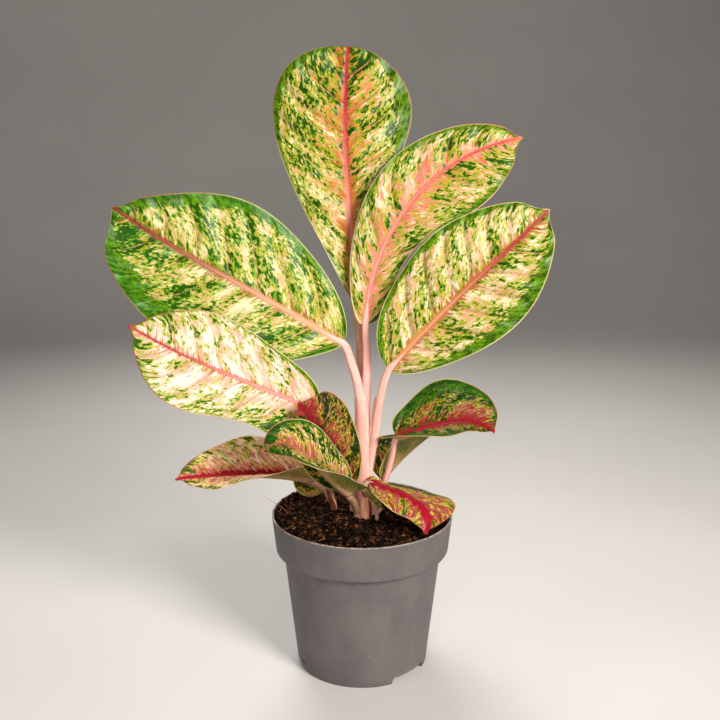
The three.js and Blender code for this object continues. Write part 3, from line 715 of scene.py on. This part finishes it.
def smooth_line(points, step):
    """Evenly spaced points on the centripetal curve through the given ones, their shares and the length."""
    given = np.array(points, float)
    line = np.vstack([2 * given[0] - given[1], given, 2 * given[-1] - given[-2]])
    found = []
    for a, b, c, d in zip(line, line[1:], line[2:], line[3:]):
        knots = [0.0]
        for first, second in ((a, b), (b, c), (c, d)):
            knots.append(knots[-1] + max(np.linalg.norm(second - first), 1e-6) ** 0.5)
        for s in np.linspace(knots[1], knots[2], 24, endpoint=False):
            between = lambda p, q, low, high: p + (q - p) * ((s - knots[low]) / (knots[high] - knots[low]))
            ab, bc, cd = between(a, b, 0, 1), between(b, c, 1, 2), between(c, d, 2, 3)
            found.append(between(between(ab, bc, 0, 2), between(bc, cd, 1, 3), 1, 2))
    found = np.array([*found, given[-1]])
    run = np.concatenate([[0], np.cumsum(np.linalg.norm(np.diff(found, axis=0), axis=1))])
    even = np.linspace(0, run[-1], max(int(run[-1] / step), 4) + 1)
    return np.stack([np.interp(even, run, found[:, k]) for k in range(3)], 1), even / run[-1], run[-1]


def tube(line, radius_at, sides, facing):
    """Points and faces of a closed tube. radius_at(share, turn) gives its radii; turn 0 looks to facing."""
    spine, share, length = line
    along = unit(np.gradient(spine, axis=0))
    side = unit(facing - (facing * along).sum(1, keepdims=True) * along)
    other = np.cross(along, side)
    turn = turns(sides)[None]
    radius = radius_at(share[:, None], turn)
    rings = (
        spine[:, None]
        + side[:, None] * (radius * np.cos(turn))[..., None]
        + other[:, None] * (radius * np.sin(turn))[..., None]
    )
    quads, index = ring_quads(len(spine), sides)
    caps = [index[0, ::-1].tolist(), index[-1].tolist()]
    fields = np.stack(np.broadcast_arrays(share[:, None] * length, turn / (2 * np.pi), 0 * radius), -1)
    return rings.reshape(-1, 3), quads + caps, fields.reshape(-1, 3)


def stalk(name, seed, points, foot_r, top_r, tone):
    """A tapering stalk that runs down into the soil and, if it carries a leaf, on under the leaf's midrib."""
    points = [np.array(p, float) for p in points]
    if points[0][2] <= GROUND_Z:
        points.insert(0, points[0] - (0, 0, FOOT_DEPTH))
    facing, beyond = np.array([-0.2, 0.9, 0.4]), 0
    leaf = LEAVES.get(name)
    if leaf:
        centre, _, up, _ = blade_frame(leaf, np.array([0.0, 0.04, 0.1]))
        points[-1] = points[-1] * 0.5 + (centre[0] - up[0]) * 0.5
        points += [centre[1] - up[1], centre[2] - up[2] * 0.8]
        facing, beyond = up[0], sum(np.linalg.norm(np.diff(points[-3:], axis=0), axis=1))
    line = smooth_line(points, STALK_STEP)
    taper = 1 - beyond / line[2]

    def radius_at(share, turn):
        radius = mix(foot_r, top_r, share)
        if leaf:
            radius = mix(radius, 0.5, smoothstep(taper - 0.02, 1, share))
            groove = bell((turn + np.pi) % (2 * np.pi) - np.pi, 0.5)
            radius = radius * (1 - 0.16 * groove * smoothstep(0.15, 0.5, share))
        ripple = 0.016 * np.sin(3 * turn + 4 * share + seed) + 0.005 * np.sin(7 * turn + seed * 2)
        return radius * (1 + ripple)

    rings, faces, fields = tube(line, radius_at, STALK_SIDES, np.broadcast_to(facing, line[0].shape))
    rings = rings + 0.12 * wobble(rings, 6, seed)[:, None] * unit(rings - np.repeat(line[0], STALK_SIDES, 0))
    fields[:, 2] = tone
    return rings, faces, fields


def join_parts(parts):
    points, faces, fields = [], [], []
    start = 0
    for own_points, own_faces, own_fields in parts:
        points.append(own_points)
        fields.append(own_fields)
        faces += [[start + i for i in face] for face in own_faces]
        start += len(own_points)
    return np.concatenate(points), faces, np.concatenate(fields)


def flap(root, tip, wide, bend, facing, tone):
    """A thin pointed sheath end, from root to tip, curved about its length."""
    root, tip, facing = (np.array(p, float) for p in (root, tip, facing))
    side = unit(np.cross(tip - root, facing))
    u, t = np.linspace(0, 1, 15)[:, None], np.linspace(-1, 1, 9)
    half = wide * (1 - u**1.7) * (0.5 + u) ** 0.5 * np.minimum(1, 0.3 + 4 * u)
    lift = bend * (1 - t * t) + 0.2 * np.sin(5 * u + 2 * t)
    sheet = root + (tip - root) * u[..., None] + side * (half * t)[..., None] + facing * lift[..., None]
    points = np.concatenate([sheet, sheet + 0.35 * facing]).reshape(-1, 3)
    index = np.arange(lift.size).reshape(lift.shape)
    quads = grid_quads(index)
    fields = np.zeros_like(points)
    fields[:, 0] = np.linalg.norm(points - root, axis=1)
    fields[:, 2] = tone
    return points, [*quads[:, ::-1].tolist(), *(quads + lift.size).tolist()], fields


def cut_stub():
    """The cut end of an old stalk: a sleeve with a ragged, slanting top."""
    turn = turns(40)
    ragged = STUB_TOP_Z + 1.2 * np.cos(turn - 2.6) + 0.5 * np.sin(5 * turn) + 0.35 * np.sin(11 * turn + 1)
    upward = np.linspace(0, 1, 15)
    rings = []
    for inset, foot_z, shares in ((0, STUB_FOOT_Z, upward), (STUB_WALL, STUB_HOLLOW_Z, upward[::-1])):
        for u in shares:
            belly = 3.9 + 0.4 * math.sin(math.pi * min(max(u * 1.3 - 0.2, 0), 1)) - 0.8 * u**2
            rings.append(ring(belly - inset, turn, mix(foot_z, ragged, u)) + STUB_AT)
    points = np.concatenate(rings)
    quads, index = ring_quads(len(rings), len(turn))
    fields = np.full_like(points, 0.12)
    fields[:, 0] = points[:, 2] - STUB_FOOT_Z
    fields[:, 1] = np.tile(turn / (2 * np.pi), len(rings))
    return points, [*quads, index[-1].tolist()], fields


def stub_material():
    n = Nodes("stub_skin")
    axes = n.attribute("stem")
    along, around = axes[:2]
    streak = n.noise(n.stretch(axes, 0.12, 12), 1, 3, 0.6)
    color = n.mix(n.ramp(streak, 0.35, 0.65), "ffc4a0", "fa9a70")
    # Painted shade: a darker band and a near-black line down one side, standing in for a slit the mesh
    # doesn't have.
    slit_shade = n.math("ABSOLUTE", n.minus(around, n.scale_add(streak, 0.1, 0.83)))
    color = n.mix(n.ramp(slit_shade, 0.09, 0.02), color, "c4602a")
    color = n.mix(n.ramp(slit_shade, 0.035, 0.01), color, "3c1a0c")
    color = n.mix(n.ramp(n.scale_add(streak, 5, along), 20.1, 21.7), color, "a8683a", 0.8)
    return n.finish(color, 0.5, 0.3, n.bump(streak, 0.0004, 0.6))


def stalk_material():
    n = Nodes("stalk_skin")
    axes = n.attribute("stem")
    streak = n.noise(n.stretch(axes, 0.05, 9), 1, 3, 0.6)
    spots = n.stretch(axes, 1, 16)
    pink = n.mix(n.ramp(streak, 0.3, 0.7), "fac6ba", "f3ad9e")
    dull = n.mix(n.ramp(streak, 0.35, 0.62), "b8886a", "8c7844")
    dull = n.mix(n.ramp(n.noise(spots, 5, 2), 0.45, 0.6), dull, "b98478")
    olive = n.mix(n.ramp(n.noise(spots, 2, 2), 0.4, 0.6), "9c8c44", "6c6c28")
    dry = n.mix(n.ramp(streak, 0.35, 0.6), "b0602c", "5a2a16")
    color = pink
    for low, following in enumerate((dull, olive, dry)):
        color = n.mix(n.ramp(axes[2], low, low + 1, kind="LINEAR"), color, following)
    color = n.mix(n.ramp(n.noise(spots, 1.6, 2, 0.6), 0.69, 0.74), color, "6b3c22", 0.7)
    height = n.plus(n.times(streak, 0.5), n.times(n.noise(spots, 2, 2), 0.4))
    return n.finish(color, n.scale_add(streak, 0.16, 0.34), 0.4, n.bump(height, 0.0002, 0.4))


plain_piece("cut_stub", cut_stub(), stub_material(), "stem")
skin = stalk_material()
stem_parts = [stalk(name, seed, *STALKS[name]) for seed, name in enumerate(STALKS, 1)]
stem_parts.append(flap((6.6, 3.2, 150), (8.6, 3.2, 185), 3, 0.9, (0.1, -1, 0), PINK))
stem_parts.append(flap((1.6, -7, 124.5), (14.5, -9, 110), 3.4, 0.8, (-0.2, -1, 0), OLIVE))
plain_piece("stems", join_parts(stem_parts), skin, "stem", ["main_stem"])
shoot_parts = [stalk(name, seed, *LEFT_STALKS[name]) for seed, name in enumerate(LEFT_STALKS, 31)]
shoot_parts.append(flap((-18.2, 6.4, 103), (-24.4, 4, 121), 2.2, 0.6, (0.3, -1, 0), DRY))
plain_piece("left_shoot", join_parts(shoot_parts), skin, "stem", ["left_stem"])

# ---- pot ----
POT_TALL = 105
RIM_R = 60
BAND_FOOT_R, BAND_FOOT_Z = 57.4, 81
STEP_R, STEP_Z = 52.3, 78.5
BASE_R = 43.6
WALL = 1.3
FOOT_TALL = 5
FOOT_WIDE = 3
FOOT_GAP_WIDE = 30
FOOT_GAPS_AT = (-43, 77, 194)
FLOOR_THICK = 1.6
PAD_R = 11
POT_SIDES = 288


def body_r(z):
    return mix(BASE_R, STEP_R, z / STEP_Z)


def band_r(z):
    return mix(BAND_FOOT_R, RIM_R, (z - BAND_FOOT_Z) / (POT_TALL - BAND_FOOT_Z))


def rounded(profile, radius, steps=4):
    """The profile with each corner replaced by a short curve."""
    found = [profile[0]]
    for before, here, after in zip(profile, profile[1:], profile[2:]):
        here, before, after = (np.array(p, float) for p in (here, before, after))
        reach = lambda p: min(radius, 0.4 * np.linalg.norm(p - here))
        start = here + unit(before - here) * reach(before)
        end = here + unit(after - here) * reach(after)
        for i in range(steps + 1):
            s = i / steps
            found.append(tuple((1 - s) ** 2 * start + 2 * s * (1 - s) * here + s * s * end))
    return [*found, profile[-1]]


def subdivided(profile, longest):
    found = [profile[0]]
    for a, b in zip(profile, profile[1:]):
        count = max(1, math.ceil(math.dist(a, b) / longest))
        found += [tuple(mix(np.array(a), np.array(b), k / count)) for k in range(1, count + 1)]
    return found


def pot_shell():
    floor_top = FOOT_TALL + FLOOR_THICK
    profile = [
        (0.01, 0), (PAD_R, 0), (PAD_R, FOOT_TALL), (BASE_R - FOOT_WIDE, FOOT_TALL), (BASE_R - FOOT_WIDE, 0),
        (BASE_R, 0), (STEP_R, STEP_Z), (BAND_FOOT_R, BAND_FOOT_Z), (RIM_R, POT_TALL),
        (RIM_R - WALL, POT_TALL), (BAND_FOOT_R - WALL, BAND_FOOT_Z + WALL / 2),
        (STEP_R - WALL, STEP_Z + WALL / 2), (body_r(floor_top) - WALL, floor_top), (0.01, floor_top),
    ]
    profile = np.array(subdivided(rounded(profile, 0.9), 4))
    turn = turns(POT_SIDES)
    gap = np.zeros_like(turn)
    for centre in FOOT_GAPS_AT:
        off = np.abs((turn - math.radians(centre) + np.pi) % (2 * np.pi) - np.pi) * BASE_R
        gap = np.maximum(gap, 1 - smoothstep(FOOT_GAP_WIDE / 2 - 0.5, FOOT_GAP_WIDE / 2 + 0.5, off))
    r = np.repeat(profile[:, :1], POT_SIDES, 1)
    z = np.repeat(profile[:, 1:], POT_SIDES, 1)
    foot = (z < FOOT_TALL) & (r > BASE_R - FOOT_WIDE - 1)
    lifted = np.maximum(z, FOOT_TALL * gap[None])
    r = np.where(foot & (r > BASE_R - 1) & (lifted > z), body_r(lifted), r)
    z = np.maximum(np.where(foot, lifted, z), 0)
    return ring(r, turn, z).reshape(-1, 3), ring_quads(*r.shape)[0]


def pot_material():
    n = Nodes("pot_plastic")
    place = n.position()
    z = n.separate(place)[2]
    fine = n.noise(place, 0.0012, 3, 0.6)
    cloud = n.noise(place, 0.03, 3, 0.55)
    flow = n.noise(n.stretch(n.separate(place), 0.4, 1, 0.12), 0.006, 3, 0.55)
    color = n.mix(n.ramp(cloud, 0.3, 0.7), "605a5a", "6d6665")
    color = n.mix(n.ramp(flow, 0.5, 0.75), color, "79726f", 0.25)
    color = n.mix(n.ramp(fine, 0.5, 0.8), color, "837d79", 0.3)
    dust = n.times(n.ramp(z, 0.088, 0.104), n.ramp(n.noise(place, 0.004, 4, 0.7), 0.5, 0.7))
    color = n.mix(dust, color, "5a4334", 0.35)
    worn = n.times(n.ramp(z, 0.1041, 0.1047), n.ramp(n.noise(place, 0.005, 4, 0.7), 0.36, 0.6))
    color = n.mix(worn, color, "b9aa98", 0.8)
    line = n.math("ABSOLUTE", n.minus(n.noise(place, 0.009, 0, 0.5, 0.6), 0.5))
    scratch = n.times(n.ramp(line, 0.0035, 0.001), n.ramp(n.noise(place, 0.021, 1), 0.57, 0.63))
    color = n.mix(scratch, color, "aaa39d", 0.4)
    height = n.plus(n.times(fine, 0.6), n.times(flow, 0.5))
    height = n.minus(height, n.times(scratch, 0.6))
    return n.finish(color, n.scale_add(cloud, 0.16, 0.5), 0.25, n.bump(height, 0.00012, 0.6))


make_piece("pot_shell", *pot_shell(), [pot_material()], "pot", ["pot"])

# ---- soil ----
SOIL_LEVEL = 102.2
SOIL_TILT = (-4, -1.5)
SOIL_DISH = (-2.5, -3)
SOIL_CORNER = -6
SOIL_LUMP = 0.9
SOIL_RIPPLES = ((0.31, 0.13, -0.11, 0.27, 1), (0.62, -0.5, 0.4, 0.55, 0.6))
SOIL_ROUGH = ((1.1, 6, 71), (0.8, 2.6, 72), (0.45, 1.2, 73))
SOIL_SINK = 0.3
SOIL_R, HEAP_R = 57.5, 58
CRUMBS, CRUMB_SIZE, CRUMB_SEED = 3600, (0.8, 5), 11
RIM_CRUMBS, RIM_CRUMB_SIZE, RIM_ARC = 170, (1, 3.6), (118, 190)
FIBRES, FIBRE_LONG, FIBRE_SEED = 420, (2, 9), 23
HAIR = [(-49, -4, 105), (-53, -5, 110), (-59, -6, 114), (-65, -8, 119)]
# Where the stub and the stalks stand in the soil: place and radius.
FEET = [(2.4, -3.4, 3.5)] + [
    (*points[0][:2], foot_r)
    for points, foot_r, *_ in (*STALKS.values(), *LEFT_STALKS.values())
    if points[0][2] <= GROUND_Z
]


def soil_height(x, y):
    a, b = x / RIM_R, y / RIM_R
    slope = SOIL_TILT[0] * a + SOIL_TILT[1] * b
    dish = SOIL_DISH[0] * a * a + SOIL_DISH[1] * b * b + SOIL_CORNER * a * b
    lumps = sum(h * np.sin(sx * x + sy * y) * np.cos(cx * x + cy * y) for sx, sy, cx, cy, h in SOIL_RIPPLES)
    return SOIL_LEVEL + slope + dish + SOIL_LUMP * lumps


def soil_skin(x, y):
    flat = np.stack([x, y, 0 * x], -1)
    rough = sum(high * wobble(flat, size, seed) for high, size, seed in SOIL_ROUGH)
    return soil_height(x, y) + rough - SOIL_SINK


def soil_heap():
    radii = np.linspace(0, HEAP_R, 118)[:, None]
    turn = turns(300)
    x, y = radii * np.cos(turn), radii * np.sin(turn)
    z = soil_skin(x, y)
    inner = band_r(z[-1]) - WALL - 0.1
    x[-1], y[-1] = inner * np.cos(turn), inner * np.sin(turn)
    rings = [np.stack([x, y, z], -1)]
    for depth_z, limit in ((BAND_FOOT_Z + WALL, BAND_FOOT_R), (STEP_Z + WALL, STEP_R), (60, body_r(60))):
        rings.append(ring(limit - WALL - 0.3, turn, depth_z)[None])
    quads, index = ring_quads(len(radii) + 3, len(turn))
    faces = [[a, d, c, b] for a, b, c, d in quads] + [index[-1, ::-1].tolist()]
    points = np.concatenate(rings).reshape(-1, 3)
    return points, faces, np.full_like(points, 0.35)


def soil_material(name, dark, light, glint):
    n = Nodes(name)
    place = n.position()
    grain, tint = n.attribute("soil")[:2]
    clumps = n.noise(place, 0.0022, 4, 0.7)
    color = n.mix(n.ramp(n.plus(clumps, n.scale_add(grain, 0.6, -0.3)), 0.4, 0.75), dark, light)
    bright = n.plus(n.noise(place, 0.0009, 2, 0.6), n.scale_add(tint, 0.55, -0.3))
    color = n.mix(n.ramp(bright, 0.6, 0.76), color, glint)
    height = n.plus(clumps, n.noise(place, 0.0006, 2, 0.6))
    return n.finish(color, n.scale_add(clumps, 0.3, 0.6), 0.12, n.bump(height, 0.0005, 0.8))


def scatter(chance, count, size_range, room):
    """Places in the pot clear of the stems, with a size each, more of the small ones, and their heights."""
    found = []
    while len(found) < count:
        radius = SOIL_R * math.sqrt(chance.random())
        turn = chance.uniform(0, 2 * math.pi)
        x, y = radius * math.cos(turn), radius * math.sin(turn)
        size = mix(*size_range, chance.random() ** 2.6)
        clear = all(math.hypot(x - foot_x, y - foot_y) >= foot_r + room for foot_x, foot_y, foot_r in FEET)
        if radius + size / 2 < SOIL_R + 0.1 and clear:
            found.append((x, y, size))
    places = np.array(found)
    return places, soil_skin(places[:, 0], places[:, 1])


def icosahedron():
    golden = (1 + math.sqrt(5)) / 2
    corners = []
    for a, b in itertools.product((-1, 1), (-golden, golden)):
        corners += [(0, a, b), (a, b, 0), (b, 0, a)]
    corners = unit(np.array(corners, float))
    near = np.sort(np.linalg.norm(corners[0] - corners, axis=1))[1] * 1.1
    faces = []
    for i, j, k in itertools.combinations(range(12), 3):
        a, b, c = corners[[i, j, k]]
        if max(math.dist(a, b), math.dist(b, c), math.dist(a, c)) < near:
            outward = np.dot(np.cross(b - a, c - a), a + b + c) > 0
            faces.append([i, j, k] if outward else [i, k, j])
    return corners, faces


def crumbs():
    """Crumbs all over the soil, and more of them piled up against the rim on the left."""
    chance = random.Random(CRUMB_SEED)
    corners, faces = icosahedron()
    places, heights = scatter(chance, CRUMBS, CRUMB_SIZE, 0.2)
    piled, piled_heights = [], []
    for _ in range(RIM_CRUMBS):
        turn = math.radians(chance.uniform(*RIM_ARC))
        size = chance.uniform(*RIM_CRUMB_SIZE)
        reach = SOIL_R - 0.1 - size / 2 - 5 * chance.random() ** 2
        piled.append((reach * math.cos(turn), reach * math.sin(turn), size))
        piled_heights.append(104 + 3.8 * chance.random() * math.sin(2.5 * turn - 5.15))
    places, heights = np.vstack([places, piled]), np.append(heights, piled_heights)
    parts = []
    for (x, y, size), z in zip(places, heights, strict=True):
        shape = corners * np.array([[chance.uniform(0.6, 1.3)] for corner in corners])
        shape = shape * [chance.uniform(0.6, 1.2), chance.uniform(0.6, 1.2), chance.uniform(0.5, 0.9)]
        turn = chance.uniform(0, 2 * math.pi)
        c, s = math.cos(turn), math.sin(turn)
        shape = shape @ np.array([[c, s, 0], [-s, c, 0], [0, 0, 1]])
        own = shape * size / 2 + [x, y, z + size * chance.uniform(-0.1, 0.25)]
        fields = np.zeros_like(own)
        fields[:, 0] = chance.random()
        fields[:, 1] = chance.random() ** 2
        parts.append((own, faces, fields))
    return join_parts(parts)


def fibre(line, foot_r, top_r, grain, tint):
    facing = np.broadcast_to(np.array([0.1, 0.2, 1.0]), line[0].shape)
    rings, faces, fields = tube(line, lambda share, turn: mix(foot_r, top_r, share) + 0 * turn, 5, facing)
    fields[:] = (grain, tint, 0)
    return rings, faces, fields


def fibres():
    """Short bent fibres on the soil, and one long hair over the rim."""
    chance = random.Random(FIBRE_SEED)
    places, heights = scatter(chance, FIBRES, FIBRE_LONG, 1.0)
    v = np.linspace(-0.5, 0.5, 6)
    parts = []
    for (x, y, size), z in zip(places, heights, strict=True):
        turn = chance.uniform(0, 2 * math.pi)
        c, s = math.cos(turn), math.sin(turn)
        bend = chance.uniform(-0.35, 0.35)
        rise = chance.uniform(-0.1, 0.25)
        dx, dy = size * v, size * bend * (v * v - 0.1) * 2
        lift = 0.6 + size * rise * v + 0.25 * np.sin(6 * v)
        points = np.stack([x + c * dx - s * dy, y + s * dx + c * dy, z + lift], 1)
        reach = np.hypot(points[:, 0], points[:, 1])
        points[:, :2] *= np.minimum(1, (SOIL_R - 0.5) / np.maximum(reach, 1))[:, None]
        thick = chance.uniform(0.12, 0.4)
        line = (points, np.linspace(0, 1, 6), size)
        parts.append(fibre(line, thick, 0.5 * thick, chance.random(), chance.random()))
    parts.append(fibre(smooth_line(HAIR, 1.5), 0.2, 0.08, 0.9, 0.9))
    return join_parts(parts)


dark = soil_material("soil_dark", "0a0402", "23120a", "583016")
plain_piece("soil_heap", soil_heap(), dark, "soil", ["soil"])
plain_piece("soil_crumbs", crumbs(), soil_material("soil_crumb", "0e0602", "301a0f", "7c4822"), "soil")
plain_piece("soil_fibres", fibres(), soil_material("soil_fibre", "4a2c19", "8c5730", "b77a44"), "soil")

# ---- floor and light, in metres ----
FLOOR_REACH = 3.0
FLOOR_RISE = 2.2
BEND_Y, BEND_R = 1.0, 0.8
LAMP_SPREAD = math.radians(110)
WORLD_COLOR, WORLD_STRENGTH = (0.95, 0.93, 0.9, 1), 0.12


def floor_sweep():
    """A pale floor that curves up into a backdrop."""
    bend = [math.radians(90 * k / 12) for k in range(13)]
    rows = [(BEND_Y + BEND_R * math.sin(turn), BEND_R * (1 - math.cos(turn))) for turn in bend]
    rows = [(-FLOOR_REACH, 0), *rows, (BEND_Y + BEND_R, FLOOR_RISE)]
    points = [(side * FLOOR_REACH, y, z) for y, z in rows for side in (-1, 1)]
    faces = [[2 * i, 2 * i + 1, 2 * i + 3, 2 * i + 2] for i in range(len(rows) - 1)]
    n = Nodes("floor_paper")
    color = n.mix(n.ramp(n.noise(n.position(), 0.25, 3), 0.3, 0.7), "d3cfca", "d8d4cf")
    floor = smooth_mesh("floor", points, faces, [n.finish(color, 0.8, 0.2)])


def lamp(name, place, aim, size, watts, tint, glossy=True):
    """A square lamp; one that isn't glossy gives light but no mirror image of itself on the leaves."""
    data = bpy.data.lights.new(name, "AREA")
    data.size, data.spread, data.energy, data.color = size, LAMP_SPREAD, watts, tint
    light = bpy.data.objects.new(name, data)
    light.location = place
    light.rotation_euler = (Vector(aim) - Vector(place)).to_track_quat("-Z", "Y").to_euler()
    light.visible_glossy = glossy
    scene.collection.objects.link(light)


floor_sweep()
lamp("key", (0.6, -0.84, 0.76), (0, 0, 0.2), 0.38, 6.3, (1, 0.965, 0.92))
lamp("fill", (-0.15, -1.0, 0.42), (0, 0, 0.15), 0.4, 1.2, (1, 0.97, 0.95), glossy=False)
lamp("back", (-0.2, 0.8, 1.0), (0, 0, 0.2), 0.6, 3.4, (1, 0.98, 0.95), glossy=False)
lamp("top", (-0.35, 0.45, 1.1), (0, 0, 0.25), 0.5, 1.2, (0.94, 0.97, 1))
world = bpy.data.worlds.new("studio")
world.use_nodes = True
background = world.node_tree.nodes["Background"].inputs
background["Color"].default_value = WORLD_COLOR
background["Strength"].default_value = WORLD_STRENGTH
scene.world = world
